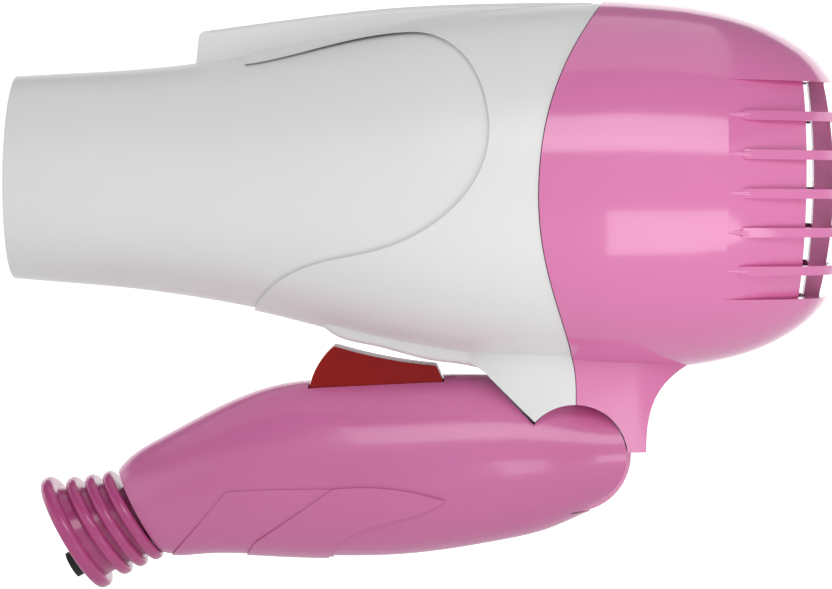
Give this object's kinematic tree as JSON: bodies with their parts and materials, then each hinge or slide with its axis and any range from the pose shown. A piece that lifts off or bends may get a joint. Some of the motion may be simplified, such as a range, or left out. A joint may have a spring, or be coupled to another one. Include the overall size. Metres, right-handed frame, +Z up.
{
  "type": "folding hair dryer",
  "caption": "Folding travel hair dryer: tapered white barrel, domed pink rear cover with barred air inlet, folding pink handle with rocker switch and ringed cord sleeve.",
  "frame": {"origin": "centre of the nozzle's mouth, on the barrel's axis", "axes": "+X along the barrel from the nozzle to the air inlet, +Z up, away from the folded handle, +Y to the side that carries the handle's screws"},
  "size_m": [0.1656, 0.0736, 0.1188],
  "materials": {
    "white_shell": "satin moulded",
    "pink_cover": "glossy moulded",
    "pink_handle": "glossy moulded",
    "magenta_sleeve": "glossy moulded",
    "red_rocker": "satin moulded",
    "black_rubber": "matte",
    "dark_plastic": "matte",
    "fan_plastic": "matte",
    "mica": "flaky sheet",
    "nichrome": "drawn wire",
    "brass": "stamped",
    "screw_steel": "zinc plated",
    "ferrite": "sintered",
    "board": "phenolic board",
    "lead_sleeve": "silicone sleeving"
  },
  "bodies": {
    "head": {"front_housing": "white_shell", "rear_housing": "pink_cover", "head_screws": "screw_steel", "outlet_grille": "dark_plastic", "mica_tube": "mica", "mica_card_upright": "mica", "mica_card_flat": "mica", "heater_eyelets": "brass", "heater_coil": "nichrome", "thermostat": "nichrome", "thermal_fuse": "screw_steel", "motor_carrier": "dark_plastic", "motor_can": "screw_steel", "motor_magnets": "ferrite", "motor_end_cap": "dark_plastic", "motor_terminals": "brass", "rectifier_board": "board", "rectifier_diodes": "dark_plastic", "head_leads": "lead_sleeve"},
    "rotor": {"motor_shaft": "screw_steel", "armature_core": "ferrite", "commutator": "brass", "impeller": "fan_plastic"},
    "handle": {"handle_left": "pink_handle", "handle_right": "pink_handle", "hinge_pin": "screw_steel", "hinge_washers": "screw_steel", "handle_screws": "screw_steel", "cord_clamp": "dark_plastic", "cord_clamp_screws": "screw_steel", "cord_sleeve": "magenta_sleeve", "cord_bushing": "black_rubber", "switch_body": "dark_plastic", "switch_terminals": "brass", "handle_leads": "lead_sleeve"},
    "rocker": {"rocker_switch": "red_rocker"}
  },
  "joints": [
    {"name": "fan_spin", "type": "hinge", "parent": "head", "child": "rotor", "pos_m": [0.124, 0, 0], "axis": [1, 0, 0], "continuous": true},
    {"name": "handle_fold", "type": "hinge", "parent": "head", "child": "handle", "pos_m": [0.1118, 0, -0.0531], "axis": [0, -1, 0], "range_deg": [0, 75]},
    {"name": "rocker_tilt", "type": "hinge", "parent": "handle", "child": "rocker", "pos_m": [0.0727, 0, -0.043], "axis": [0, -1, 0], "range_deg": [0, 20]}
  ]
}
